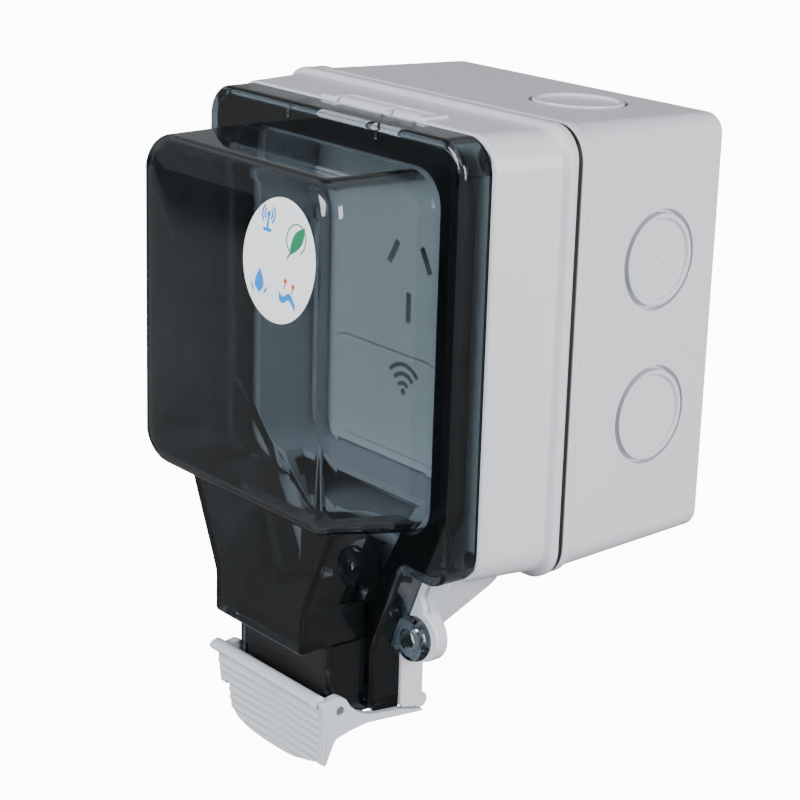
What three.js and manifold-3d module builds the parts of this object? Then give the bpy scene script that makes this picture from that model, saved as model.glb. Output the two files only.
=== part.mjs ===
// Weatherproof wall-mounted smart socket: back box, front frame, hinged smoked cover with a
// bulge and a cable chute, latch lever, and a three-pin switched socket module behind it.
// Millimetres. +X right, +Z up, -Y out of the wall. Origin: centre of the wall face.
import * as THREE from 'three';
import { mergeVertices } from 'three/addons/utils/BufferGeometryUtils.js';
import Module from 'manifold-3d';

const wasm = await Module();
wasm.setup();

// ---- driving dimensions ----
const GAP = 0.3;
const WALL = 2.4;
const CORNER = 9;
const REAR_CORNER = 5.5;

const BOX = { depth: 54.8, backX: 54.5, backZ: 57.3, frontX: 58.3, frontZ: 58.8, lipX: 59, lipZ: 59.5 };
const LIP_DEPTH = 3;
const KNOCKOUT = { y: -23, high: 21.7, low: -20.1, outer: 13.3, inner: 12.3, depth: 0.9, topX: 22.9 };
const POST_R = 3.6;
const WALL_FIXING = { x: 38, z: 40, r: 2.5 };

const FRAME_BACK = -55.8;
const FRAME_RAMP = -58.4;
const FRAME_WAIST = -59.9;
const FRAME_FRONT = -78.6;
const FRAME = { waistX: 57.2, waistZ: 58, frontX: 54.2, frontZ: 57.9 };
const FRONT_CHAMFER = 0.7;
const FACE_WALL = 2.6;

const COVER_BACK = -78.9;
const COVER_FRONT = -88.5;
const COVER = { x: 53.4, z: 57.4, wall: 2.2 };
const BULGE = {
  base: { x: 43.6, low: -45.5, high: 48.5, r: 9 },
  shoulder: { x: 40.9, low: -41.8, high: 48.3, r: 7 },
  front: { x: 37.6, low: -38.6, high: 45, r: 5 },
  shoulderY: -117.8,
  frontY: -121.3,
};
const CHUTE = { topX: 31.9, topZ: -44, x: 20.1, kneeZ: -69.6, bottom: -81.2, front: -108.8 };
const TONGUE = { topX: 37.6, topZ: -50, x: 24, kneeZ: -82.5, bottom: -100.4 };
const GASKET_WIDTH = 3.2;
const GASKET_LAND = 1.8;
const NOSE = { inner: 18.2, outer: 20.8, front: -99.5, bottom: -96.1, heel: -101.2 };

const COVER_RIB = { x: 18.5, half: 0.6 };
const HINGE = { y: -75, z: 56.3, pinR: 1, knuckleR: 2.35, slotLow: -11, slotHigh: 23, ribX: 10.8 };
const LATCH = { y: -99.1, z: -96.9, pinR: 1.2, earInner: 21.6, halfWidth: 24.5, eyeR: 3.8 };
const SEAL_BOTTOM = -99.4;
const CABLE = { x: 8.5, y: -91.5, r: 4, mouth: 3.6 };
const FRAME_TONGUE = { half: 24.5, back: -71, bottom: -101.5, beadZ: -101.3, beadR: 2.2 };
const EYE = { x: 31.5, z: -78.3, r: 6.2, holeR: 3, earR: 7 };

const SOCKET_FACE = -60.6;
const PLATE_BACK = -57.9;
const WINDOW = { x: 41, low: -43, high: 46, r: 7 };
const PIN_CENTRE_Z = 12.1;
const LIVE_SLOT = { x: 6.86, z: PIN_CENTRE_Z + 4, length: 7.6, width: 2.1, tilt: Math.PI / 6 };
const EARTH_SLOT = { z: PIN_CENTRE_Z - 10.3, length: 8.6, width: 2.1 };
const BUTTON = { x: 30, low: -39.7, high: -11.5, r: 3, proud: 1 };
const HOUSING = { x: 42, low: -44.5, high: 47, front: -57.5, back: -24, wall: 2 };
const BOARD = { front: -41.8, back: -40.2, x: 34, low: -37, high: 38 };
const SWITCH_Z = -25.5;
const FUSE = { x: 24, y: -37.2, z: -12, glassR: 2.3, capR: 2.6, capAt: 5.4 };
const TERMINAL_X = [-20, 0, 20];
const TERMINAL = { z: -31, half: 4.3, back: -19, front: -34, wireR: 2, screwY: -21.4, screwR: 1.6 };
const SCREW = { x: 49.3, z: 51.5, r: 1.5, headR: 2.9, headFront: -78.2, tip: -38 };
const MODULE_SCREW = { x: 46.6, z: 2, r: 1.4, headR: 2.7, headFront: -54.2, headBack: -51.6, tip: -68 };
const BOSS_R = 4;
const LABEL = { x: 23.5, z: 28, r: 14, thickness: 0.25 };

// ---- materials ----
const finish = (color, roughness, metalness = 0, opacity = 1) => () =>
  new THREE.MeshStandardMaterial({ color, roughness, metalness, opacity, transparent: opacity < 1 });
const greyShell = finish(0xd6d9dd, 0.45);
const smoke = finish(0x2b3338, 0.1, 0, 0.55);
const rubber = finish(0x17181a, 0.8);
const steel = finish(0xb9bcc0, 0.3, 1);
const brass = finish(0xc9a452, 0.35, 1);
const board = finish(0x1f6b3c, 0.6);
const blackPart = finish(0x1b1c1f, 0.5);
const bluePart = finish(0x2a5fb0, 0.5);
const yellowPart = finish(0xd9c24a, 0.5);
const clearPart = finish(0xe6ecef, 0.1, 0, 0.7);
const white = finish(0xf4f5f6, 0.5);

// ---- solids ----
function toSolid(geometry) {
  const bare = geometry.clone();
  bare.deleteAttribute('normal');
  bare.deleteAttribute('uv');
  const merged = mergeVertices(bare);
  const mesh = new wasm.Mesh({
    numProp: 3,
    vertProperties: new Float32Array(merged.attributes.position.array),
    triVerts: new Uint32Array(merged.index.array),
  });
  return new wasm.Manifold(mesh);
}

function toGeometry(solid) {
  const mesh = solid.getMesh();
  const geometry = new THREE.BufferGeometry();
  geometry.setAttribute('position', new THREE.BufferAttribute(new Float32Array(mesh.vertProperties), 3));
  geometry.setIndex(new THREE.BufferAttribute(new Uint32Array(mesh.triVerts), 1));
  return geometry;
}

const join = (first, ...rest) => rest.reduce((sum, next) => sum.add(next), first);
const cut = (first, ...rest) => rest.reduce((left, next) => left.subtract(next), first);

// ---- outlines and primitive solids ----
const X = new THREE.Vector3(1, 0, 0);
const Y = new THREE.Vector3(0, 1, 0);
const Z = new THREE.Vector3(0, 0, 1);
const SEGMENTS = 6;

function roundedOutline(lowX, highX, lowZ, highZ, r) {
  const shape = new THREE.Shape();
  shape.absarc(highX - r, lowZ + r, r, -Math.PI / 2, 0);
  shape.absarc(highX - r, highZ - r, r, 0, Math.PI / 2);
  shape.absarc(lowX + r, highZ - r, r, Math.PI / 2, Math.PI);
  shape.absarc(lowX + r, lowZ + r, r, Math.PI, 1.5 * Math.PI);
  shape.closePath();
  return shape;
}

function polygon(points) {
  return new THREE.Shape(points.map(([a, b]) => new THREE.Vector2(a, b)));
}

function extrude(shape, depth, basis, offset) {
  const geometry = new THREE.ExtrudeGeometry(shape, { depth, bevelEnabled: false, curveSegments: SEGMENTS });
  geometry.applyMatrix4(new THREE.Matrix4().makeBasis(...basis));
  geometry.translate(offset.x, offset.y, offset.z);
  return toSolid(geometry);
}

// An XZ outline between two Y planes, and a YZ outline between two X planes.
const FORWARD = Y.clone().negate();
const alongY = (shape, back, front) => extrude(shape, back - front, [X, Z, FORWARD], { x: 0, y: back, z: 0 });
const alongX = (shape, low, high) => extrude(shape, high - low, [Y, Z, X], { x: low, y: 0, z: 0 });

function block(lowX, highX, lowY, highY, lowZ, highZ) {
  const geometry = new THREE.BoxGeometry(highX - lowX, highY - lowY, highZ - lowZ);
  geometry.translate((lowX + highX) / 2, (lowY + highY) / 2, (lowZ + highZ) / 2);
  return toSolid(geometry);
}

function rod(axis, r, centre, length, sides = 16) {
  const geometry = new THREE.CylinderGeometry(r, r, length, sides);
  geometry.applyQuaternion(new THREE.Quaternion().setFromUnitVectors(Y, axis));
  geometry.translate(...centre);
  return toSolid(geometry);
}

const rodY = (r, x, z, back, front, sides) => rod(Y, r, [x, (back + front) / 2, z], back - front, sides);
const rodX = (r, y, z, low, high, sides) => rod(X, r, [(low + high) / 2, y, z], high - low, sides);
const mirrored = (solid) => solid.mirror([1, 0, 0]);
const both = (solid) => solid.add(mirrored(solid));

// A skin through rounded rectangles, one at each Y, with flat ends.
function loft(sections) {
  const rings = sections.map(({ y, x, low, high, r }) => {
    const outline = roundedOutline(-x, x, low, high, r).extractPoints(SEGMENTS).shape;
    const last = outline.length - 1;
    const ring = outline[0].distanceTo(outline[last]) < 1e-6 ? outline.slice(0, last) : outline;
    return ring.map((p) => new THREE.Vector3(p.x, y, p.y));
  });
  const count = rings[0].length;
  const positions = rings.flat().flatMap((p) => [p.x, p.y, p.z]);
  const index = [];
  for (let s = 0; s < rings.length - 1; s += 1) {
    for (let i = 0; i < count; i += 1) {
      const a = s * count + i;
      const b = s * count + ((i + 1) % count);
      index.push(a, b + count, b, a, a + count, b + count);
    }
  }
  const lastRing = (rings.length - 1) * count;
  for (let i = 1; i < count - 1; i += 1) {
    index.push(0, i, i + 1);
    index.push(lastRing, lastRing + i + 1, lastRing + i);
  }
  const geometry = new THREE.BufferGeometry();
  geometry.setAttribute('position', new THREE.Float32BufferAttribute(positions, 3));
  geometry.setIndex(index);
  const outward = sections[0].y > sections[sections.length - 1].y;
  if (outward) geometry.index.array.reverse();
  return toSolid(geometry);
}

const centred = (y, x, z, r) => ({ y, x, low: -z, high: z, r });

// ---- the object and its nodes ----
const device = new THREE.Group();

function place(name, solid, material, parent = device) {
  const mesh = new THREE.Mesh(toGeometry(solid), material());
  mesh.name = name;
  parent.add(mesh);
  return mesh;
}

// ---- back box ----
function knockoutRing(centre, axis) {
  const { outer, inner, depth } = KNOCKOUT;
  const above = 2;
  const profile = [[inner, -depth], [outer, -depth], [outer, above], [inner, above], [inner, -depth]];
  const geometry = new THREE.LatheGeometry(profile.map(([r, h]) => new THREE.Vector2(r, h)), 32);
  geometry.applyQuaternion(new THREE.Quaternion().setFromUnitVectors(Y, axis));
  geometry.translate(...centre);
  return toSolid(geometry);
}

function makeBackBox() {
  const taperX = (BOX.frontX - BOX.backX) / BOX.depth;
  const taperZ = (BOX.frontZ - BOX.backZ) / BOX.depth;
  const sideX = BOX.backX - taperX * KNOCKOUT.y;
  const sideZ = BOX.backZ - taperZ * KNOCKOUT.y;
  const body = loft([
    centred(0, BOX.backX, BOX.backZ, REAR_CORNER),
    centred(-BOX.depth, BOX.frontX, BOX.frontZ, CORNER),
  ]);
  const lip = loft([
    centred(-BOX.depth + LIP_DEPTH, BOX.lipX, BOX.lipZ, CORNER),
    centred(-BOX.depth, BOX.lipX, BOX.lipZ, CORNER),
  ]);
  const hollow = loft([
    centred(-WALL, BOX.backX - WALL, BOX.backZ - WALL, REAR_CORNER - WALL),
    centred(-BOX.depth - 1, BOX.frontX - WALL, BOX.frontZ - WALL, CORNER - WALL),
  ]);
  let shell = cut(join(body, lip), hollow);
  const postBack = -1;
  const pilotBack = -30;
  for (const sx of [-1, 1]) {
    for (const sz of [-1, 1]) {
      const x = sx * SCREW.x;
      const z = sz * SCREW.z;
      shell = shell.add(rodY(POST_R, x, z, postBack, -BOX.depth, 16));
      shell = shell.subtract(rodY(SCREW.r + 0.15, x, z, pilotBack, -BOX.depth - 1, 12));
      shell = shell.subtract(rodY(WALL_FIXING.r, sx * WALL_FIXING.x, sz * WALL_FIXING.z, 1, -WALL - 1, 12));
    }
  }
  const sideAxis = new THREE.Vector3(1, taperX, 0).normalize();
  const leftAxis = new THREE.Vector3(-1, taperX, 0).normalize();
  const topAxis = new THREE.Vector3(0, taperZ, 1).normalize();
  const bottomAxis = new THREE.Vector3(0, taperZ, -1).normalize();
  for (const z of [KNOCKOUT.high, KNOCKOUT.low]) {
    shell = shell.subtract(knockoutRing([sideX, KNOCKOUT.y, z], sideAxis));
    shell = shell.subtract(knockoutRing([-sideX, KNOCKOUT.y, z], leftAxis));
  }
  shell = shell.subtract(knockoutRing([KNOCKOUT.topX, KNOCKOUT.y, sideZ], topAxis));
  shell = shell.subtract(knockoutRing([KNOCKOUT.topX, KNOCKOUT.y, -sideZ], bottomAxis));
  return shell;
}

function makeBoxGasket() {
  const back = -BOX.depth - 0.2;
  const front = FRAME_BACK + 0.2;
  const x = BOX.lipX - 1.1;
  const z = BOX.lipZ - 1.1;
  const width = 1.6;
  const outer = alongY(roundedOutline(-x, x, -z, z, CORNER - 1), back, front);
  const innerOutline = roundedOutline(-x + width, x - width, -z + width, z - width, CORNER - WALL);
  return outer.subtract(alongY(innerOutline, back + 1, front - 1));
}

// ---- outlines shared by cover, gasket and frame ----
function mirroredPolygon(rightSide) {
  const leftSide = rightSide.map(([x, z]) => [-x, z]).reverse();
  return polygon([...rightSide, ...leftSide]);
}

// The bulge opening with the chute below it, grown outwards by `grow`.
function openingOutline(grow, back, front, bottom) {
  const { x, low, high, r } = BULGE.base;
  const main = alongY(roundedOutline(-x - grow, x + grow, low - grow, high + grow, r), back, front);
  const lower = alongY(
    mirroredPolygon([
      [CHUTE.topX + grow, CHUTE.topZ],
      [CHUTE.x + grow, CHUTE.kneeZ],
      [CHUTE.x + grow, bottom],
    ]),
    back,
    front,
  );
  return join(main, lower);
}

// The cover's outer outline with its tongue, shrunk by `shrink`.
function coverOutline(shrink, back, front) {
  const plate = alongY(
    roundedOutline(-COVER.x + shrink, COVER.x - shrink, -COVER.z + shrink, COVER.z - shrink, CORNER - shrink),
    back,
    front,
  );
  const tongue = alongY(
    mirroredPolygon([
      [TONGUE.topX - shrink, TONGUE.topZ],
      [TONGUE.x - shrink, TONGUE.kneeZ],
      [TONGUE.x - shrink, TONGUE.bottom + shrink],
    ]),
    back,
    front,
  );
  return join(plate, tongue);
}

function makeCoverGasket() {
  const back = COVER_BACK + 0.1;
  const front = COVER_FRONT + COVER.wall + GAP;
  const inset = 0.4;
  const bottom = -98;
  const ring = cut(
    openingOutline(GASKET_WIDTH, back, front, bottom),
    openingOutline(inset, back + 1, front - 1, CHUTE.bottom),
    block(-NOSE.inner - GAP, NOSE.inner + GAP, front - 1, back + 1, NOSE.bottom, CHUTE.kneeZ),
  );
  const trim = coverOutline(COVER.wall + GAP, back + 1, front - 1);
  return join(ring.intersect(trim), makeGasketLand(front));
}

// The gasket's thin land, which lines the cover's flange out to its walls.
function makeGasketLand(front) {
  const inset = COVER.wall + GAP;
  const x = COVER.x - inset;
  const z = COVER.z - inset;
  const ribHalf = COVER_RIB.half + GAP;
  const ribBottom = BULGE.base.high + GASKET_WIDTH + GAP;
  const sheet = alongY(roundedOutline(-x, x, -z, z, CORNER - inset), front + GASKET_LAND, front);
  return cut(
    sheet,
    openingOutline(1, front + GASKET_LAND + 1, front - 1, -COVER.z),
    ...[-COVER_RIB.x, COVER_RIB.x].map((ribX) =>
      block(ribX - ribHalf, ribX + ribHalf, front - 1, front + GASKET_LAND + 1, ribBottom, COVER.z),
    ),
  );
}

// ---- front frame ----
function chinPolygon(bottom) {
  return mirroredPolygon([
    [TONGUE.topX + 0.8, TONGUE.topZ],
    [TONGUE.x + 0.5, TONGUE.kneeZ],
    [TONGUE.x + 0.5, bottom],
  ]);
}

function makeFrontFrame() {
  const outer = loft([
    centred(FRAME_BACK, BOX.lipX, BOX.lipZ, CORNER),
    centred(FRAME_RAMP, BOX.lipX, BOX.lipZ, CORNER),
    centred(FRAME_WAIST, FRAME.waistX, FRAME.waistZ, CORNER),
    centred(FRAME_FRONT + FRONT_CHAMFER, FRAME.frontX, FRAME.frontZ, CORNER),
    centred(FRAME_FRONT, FRAME.frontX - FRONT_CHAMFER, FRAME.frontZ - FRONT_CHAMFER, CORNER),
  ]);
  const hollow = loft([
    centred(FRAME_BACK + 1, BOX.lipX - WALL - 1, BOX.lipZ - WALL - 1, CORNER - WALL),
    centred(FRAME_FRONT + FACE_WALL, FRAME.frontX - WALL, FRAME.frontZ - WALL, CORNER - WALL),
  ]);
  const wellWall = 2;
  const wellBack = PLATE_BACK - 0.4;
  const well = alongY(
    roundedOutline(
      -WINDOW.x - wellWall,
      WINDOW.x + wellWall,
      WINDOW.low - wellWall,
      WINDOW.high + wellWall,
      WINDOW.r + wellWall,
    ),
    wellBack,
    FRAME_FRONT + 1,
  );
  const window = alongY(
    roundedOutline(-WINDOW.x, WINDOW.x, WINDOW.low, WINDOW.high, WINDOW.r),
    wellBack + 1,
    FRAME_FRONT - 1,
  );
  const rimBack = FRAME_FRONT + 4.2;
  const { half, back: tongueBack, bottom: tongueBottom, beadZ, beadR } = FRAME_TONGUE;
  const chinRim = alongY(chinPolygon(tongueBottom), rimBack, FRAME_FRONT);
  const tongueProfile = polygon([
    [FRAME_FRONT, -72],
    [FRAME_FRONT, tongueBottom],
    [tongueBack, beadZ - beadR + 0.2],
    [tongueBack, -72],
  ]);
  const tongueDeep = alongX(tongueProfile, -half, half);
  const gussetProfile = polygon([
    [-76.5, -56.5],
    [-60, -56.5],
    [-60, -65],
    [tongueBack, -77],
    [tongueBack, -83],
    [-76.5, -83],
  ]);
  const gussetOutline = mirroredPolygon([[44, -56.5], [31, -77], [27, -83]]);
  const gusset = alongX(gussetProfile, -46, 46).intersect(alongY(gussetOutline, -55, -80));
  const ear = rodY(EYE.earR, EYE.x, EYE.z, rimBack, FRAME_FRONT, 24);
  const bead = rodX(beadR, tongueBack - 0.2, beadZ, -half, half, 12);
  let frame = join(cut(outer, hollow), well, chinRim, tongueDeep, gusset, ear, bead);
  frame = cut(frame, window);
  // Cable trough behind the chute.
  const trough = alongY(
    mirroredPolygon([[CHUTE.topX - 3, -40], [CHUTE.x - 2.6, CHUTE.kneeZ], [CHUTE.x - 2.6, -73]]),
    FRAME_FRONT + 5,
    FRAME_FRONT - 1,
  );
  frame = cut(frame, trough, rodY(EYE.holeR, EYE.x, EYE.z, FRAME_FRONT + 6, FRAME_FRONT - 1, 16));
  // Hinge slot, open to the front and the top, with a centre rib and a pin bore.
  const slot = cut(
    block(HINGE.slotLow, HINGE.slotHigh, FRAME_FRONT - 1, HINGE.y + 3.2, HINGE.z - 3.6, 62),
    block(HINGE.ribX - 0.7, HINGE.ribX + 0.7, HINGE.y - 2.4, HINGE.y + 3.4, HINGE.z - 4, HINGE.z + 1.6),
  );
  const { slotLow, slotHigh } = HINGE;
  const padTop = HINGE.z + 2.3;
  const pocket = block(slotLow - 5, slotHigh + 3, FRAME_FRONT + 1, HINGE.y + 5, HINGE.z - 5.4, padTop);
  const pinBore = rodX(HINGE.pinR + 0.08, HINGE.y, HINGE.z, slotLow - 3.4, slotHigh + 2.6, 16);
  frame = cut(frame.add(pocket), slot, pinBore);
  for (const sx of [-1, 1]) {
    for (const sz of [-1, 1]) {
      const x = sx * SCREW.x;
      const z = sz * SCREW.z;
      frame = frame.add(rodY(POST_R, x, z, FRAME_RAMP, FRAME_FRONT + 0.5, 16).intersect(outer));
      frame = frame.subtract(rodY(SCREW.r + 0.3, x, z, FRAME_BACK + 2, FRAME_FRONT - 1, 12));
      frame = frame.subtract(rodY(SCREW.headR + 0.3, x, z, SCREW.headFront + 2.8, FRAME_FRONT - 1, 16));
    }
    const bossX = sx * MODULE_SCREW.x;
    const boss = rodY(BOSS_R, bossX, MODULE_SCREW.z, wellBack, FRAME_FRONT + 1, 16);
    const pilotFront = MODULE_SCREW.tip - 2;
    const pilot = rodY(MODULE_SCREW.r + 0.15, bossX, MODULE_SCREW.z, PLATE_BACK + 1, pilotFront, 12);
    frame = cut(frame.add(boss), pilot);
  }
  return frame;
}

// ---- cover ----
function bulgeSkin(inset, baseY) {
  const section = (y, { x, low, high, r }) => ({
    y,
    x: x - inset,
    low: low + inset,
    high: high - inset,
    r: Math.max(r - inset, 2),
  });
  return loft([
    section(baseY, BULGE.base),
    section(BULGE.shoulderY + inset, BULGE.shoulder),
    section(BULGE.frontY + inset, BULGE.front),
  ]);
}

function chuteSolid(inset, back, top) {
  const outline = mirroredPolygon([
    [CHUTE.topX - inset, top],
    [CHUTE.topX - inset, CHUTE.topZ],
    [CHUTE.x - inset, CHUTE.kneeZ - inset * 0.2],
    [CHUTE.x - inset, CHUTE.bottom + inset],
  ]);
  return alongY(outline, back, CHUTE.front + inset);
}

function makeCover() {
  const t = COVER.wall;
  const innerFace = COVER_FRONT + t;
  const nosePlate = join(
    block(NOSE.inner, NOSE.outer, NOSE.front, innerFace, LATCH.z, CHUTE.bottom + 1),
    rodX(3, LATCH.y, LATCH.z, NOSE.inner, NOSE.outer, 20),
    block(NOSE.inner, NOSE.outer, LATCH.y + 1.5, innerFace, NOSE.heel, LATCH.z),
  );
  const eyelet = rodY(EYE.r, EYE.x, EYE.z, COVER_BACK - 0.1, COVER_BACK - 3.8, 24);
  const eyeletWeb = block(TONGUE.x - 1.5, EYE.x, COVER_BACK - 3.8, COVER_BACK - 0.1, EYE.z - 3, EYE.z + 3);
  const eyeletHole = rodY(EYE.holeR, EYE.x, EYE.z, COVER_BACK + 1, COVER_BACK - 6, 16);
  let cover = join(
    coverOutline(0, COVER_BACK, COVER_FRONT),
    bulgeSkin(0, innerFace),
    chuteSolid(0, innerFace, -40),
    both(nosePlate),
    eyelet,
    eyeletWeb,
  );
  cover = cut(
    cover,
    coverOutline(t, COVER_BACK + 1, innerFace),
    bulgeSkin(t, COVER_BACK + 1),
    chuteSolid(t, COVER_BACK + 1, -38),
    block(-NOSE.inner, NOSE.inner, NOSE.front - GAP, COVER_BACK + 1, NOSE.bottom, CHUTE.kneeZ - 1),
    eyeletHole,
    rodX(LATCH.pinR + 0.08, LATCH.y, LATCH.z, -NOSE.outer - 1, NOSE.outer + 1, 16),
  );
  const ribBottom = BULGE.base.high + GASKET_WIDTH + GAP + 0.6;
  const ribBack = COVER_BACK - 1.3;
  for (const x of [-COVER_RIB.x, COVER_RIB.x]) {
    const { half } = COVER_RIB;
    cover = cover.add(block(x - half, x + half, innerFace - 0.5, ribBack, ribBottom, COVER.z - 1));
  }
  const armSpans = [
    [HINGE.slotLow + 0.5, HINGE.ribX - 1.1],
    [HINGE.ribX + 1.1, HINGE.slotHigh - 0.5],
  ];
  for (const [low, high] of armSpans) {
    cover = cover.add(rodX(HINGE.knuckleR, HINGE.y, HINGE.z, low, high, 16));
    cover = cover.add(block(low, high, -80.5, HINGE.y, HINGE.z - 2.3, HINGE.z + 0.9));
  }
  return cut(cover, rodX(HINGE.pinR + 0.08, HINGE.y, HINGE.z, HINGE.slotLow, HINGE.slotHigh, 16));
}

function makeCableSeal() {
  const top = CHUTE.kneeZ - 2;
  const bottom = LATCH.z + LATCH.pinR + 0.4;
  const half = NOSE.inner - 0.7;
  const { x: cableX, y, r, mouth } = CABLE;
  const skirtFront = LATCH.y + LATCH.pinR + 0.4;
  let seal = join(
    block(-half, half, NOSE.front, COVER_BACK - 0.6, bottom, top),
    block(-half, half, skirtFront, COVER_FRONT - GAP, SEAL_BOTTOM, bottom + 0.5),
  );
  for (const x of [-cableX, cableX]) {
    seal = seal.subtract(rod(Z, r, [x, y, (top + SEAL_BOTTOM) / 2], top - SEAL_BOTTOM + 4, 20));
    seal = seal.subtract(block(x - mouth, x + mouth, y, COVER_BACK + 1, SEAL_BOTTOM - 1, top + 1));
  }
  return seal;
}

// ---- latch lever ----
function makeLatchLever() {
  const w = LATCH.halfWidth;
  const padProfile = polygon([
    [-104.8, -91.8],
    [-107.5, -93.3],
    [-105.4, -95.8],
    [-104.3, -98.2],
    [-104.3, -102.6],
    [-103.6, -104.4],
    [-103.5, -113.4],
    [-103, -115.4],
    [-101.6, -115.2],
    [-101.2, -104],
    [-102.5, -101],
    [-102.5, -95.4],
  ]);
  const padFront = polygon([
    [w, -91],
    [w, -109],
    [w - 0.7, -112],
    [w - 4, -113.6],
    [w - 12, -114.9],
    [w - 22, -115.4],
    [-10.4, -114.5],
    [-16.5, -112.7],
    [-19, -110.2],
    [-19.8, -104],
    [-23, -102.6],
    [-w, -100.5],
    [-w, -91],
  ]);
  const pad = alongX(padProfile, -w, w).intersect(alongY(padFront, -90, -110));
  const armProfile = polygon([
    [-105.3, -93.9],
    [-102.5, -93.5],
    [-99.4, -93.2],
    [-97.2, -94.2],
    [-95.6, -96.6],
    [-92.8, -99],
    [-88.7, -100.8],
    [-79.2, -101.9],
    [-70.6, -103.9],
    [-70.6, -104.7],
    [-80, -103.7],
    [-89.6, -102.9],
    [-95.6, -103.8],
    [-100.4, -105],
    [-102.3, -109.4],
    [-104, -111.8],
    [-104.3, -104],
  ]);
  const arm = join(
    alongX(armProfile, LATCH.earInner, w),
    rodX(LATCH.eyeR, LATCH.y, LATCH.z, LATCH.earInner, w, 24),
  );
  // The left arm stops above the narrow part of the pad.
  const cheekBottom = -105.2;
  const leftArm = mirrored(arm).intersect(block(-w - 1, 0, -110, -60, cheekBottom, -90));
  const lever = join(pad, arm, leftArm);
  return cut(lever, rodX(LATCH.pinR + 0.08, LATCH.y, LATCH.z, -w - 1, w + 1, 16));
}

// ---- socket module ----
function slotCutter(x, z, slot, tilt, back, front) {
  const geometry = new THREE.BoxGeometry(slot.width, back - front, slot.length);
  geometry.rotateY(tilt);
  geometry.translate(x, (back + front) / 2, z);
  return toSolid(geometry);
}

function makeFacePlate() {
  const clearance = 0.4;
  const outline = roundedOutline(
    -WINDOW.x + clearance,
    WINDOW.x - clearance,
    WINDOW.low + clearance,
    WINDOW.high - clearance,
    WINDOW.r,
  );
  const buttonHole = roundedOutline(
    -BUTTON.x - clearance,
    BUTTON.x + clearance,
    BUTTON.low - clearance,
    BUTTON.high + clearance,
    BUTTON.r + clearance,
  );
  return cut(
    alongY(outline, PLATE_BACK, SOCKET_FACE),
    alongY(buttonHole, PLATE_BACK + 1, SOCKET_FACE - 1),
    slotCutter(-LIVE_SLOT.x, LIVE_SLOT.z, LIVE_SLOT, LIVE_SLOT.tilt, PLATE_BACK + 1, SOCKET_FACE - 1),
    slotCutter(LIVE_SLOT.x, LIVE_SLOT.z, LIVE_SLOT, -LIVE_SLOT.tilt, PLATE_BACK + 1, SOCKET_FACE - 1),
    slotCutter(0, EARTH_SLOT.z, EARTH_SLOT, 0, PLATE_BACK + 1, SOCKET_FACE - 1),
  );
}

function makePushButton() {
  const lip = 1.4;
  const cap = alongY(
    roundedOutline(-BUTTON.x, BUTTON.x, BUTTON.low, BUTTON.high, BUTTON.r),
    PLATE_BACK + 0.6,
    SOCKET_FACE - BUTTON.proud,
  );
  const flange = alongY(
    roundedOutline(-BUTTON.x - lip, BUTTON.x + lip, BUTTON.low - lip, BUTTON.high + lip, BUTTON.r + lip),
    PLATE_BACK + 1.5,
    PLATE_BACK + 0.5,
  );
  return join(cap, flange);
}

function makeModuleHousing() {
  const { x, low, high, front, back, wall } = HOUSING;
  const outer = alongY(roundedOutline(-x, x, low, high, 6), back, front);
  const innerOutline = roundedOutline(-x + wall, x - wall, low + wall, high - wall, 4);
  const inner = alongY(innerOutline, back - wall, front - 1);
  let housing = cut(outer, inner);
  for (const sx of [-1, 1]) {
    const tabX = sx * (x + 3.4);
    const tabZ = MODULE_SCREW.z;
    const tab = block(tabX - 4.6, tabX + 4.6, front, front + 3, tabZ - 5, tabZ + 5);
    housing = housing.add(tab.subtract(block(-x + 1, x - 1, front - 1, front + 4, tabZ - 6, tabZ + 6)));
    const screwHole = rodY(MODULE_SCREW.r + 0.3, sx * MODULE_SCREW.x, tabZ, front + 4, front - 1, 12);
    housing = housing.subtract(screwHole);
  }
  const windowHalf = TERMINAL.half + 0.5;
  for (const cx of TERMINAL_X) {
    const lowZ = TERMINAL.z - windowHalf;
    const window = roundedOutline(cx - windowHalf, cx + windowHalf, lowZ, lowZ + 2 * windowHalf, 1);
    housing = housing.subtract(alongY(window, back + 1, back - wall - 1));
  }
  return housing;
}

// A folded clip: two leaves and a bridge, gripping one plug blade.
function makeContact(x, z, length, tilt) {
  const leafGap = 1;
  const leafThickness = 0.7;
  const depth = 11;
  const height = length - 1.2;
  const clip = new THREE.Group();
  clip.position.set(x, -56.8, z);
  clip.rotation.y = tilt;
  clip.updateMatrixWorld();
  const part = (lowX, highX, lowY, highY) => {
    const geometry = new THREE.BoxGeometry(highX - lowX, highY - lowY, height);
    geometry.translate((lowX + highX) / 2, (lowY + highY) / 2, 0);
    geometry.applyMatrix4(clip.matrixWorld);
    return toSolid(geometry);
  };
  const outerX = leafGap + leafThickness;
  return join(
    part(-outerX, -leafGap, 0, depth),
    part(leafGap, outerX, 0, depth),
    part(-outerX, outerX, depth - leafThickness, depth),
  );
}

function makeTerminal(x) {
  const { z, half, back, front, wireR, screwY, screwR } = TERMINAL;
  const body = block(x - half, x + half, front, back, z - half, z + half);
  const wireWay = rodY(wireR, x, z - 1.2, back + 1, front + 4, 12);
  const screwWay = rod(Z, screwR + GAP, [x, screwY, z + 3], 5, 12);
  return cut(body, wireWay, screwWay);
}

function makeTerminalScrew(x) {
  const { z, screwY, screwR } = TERMINAL;
  const shank = rod(Z, screwR, [x, screwY, z + 2.6], 3.6, 12);
  return cut(shank, block(x - 2, x + 2, screwY - 0.3, screwY + 0.3, z + 3.7, z + 6));
}

function makeFuse() {
  const { x, y, z, glassR, capR, capAt } = FUSE;
  const glass = rod(X, glassR, [x, y, z], 2 * capAt + 1.2, 16);
  const caps = [x - capAt, x + capAt].map((capX) => rod(X, capR, [capX, y, z], 3, 16));
  return join(glass, ...caps);
}

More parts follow.
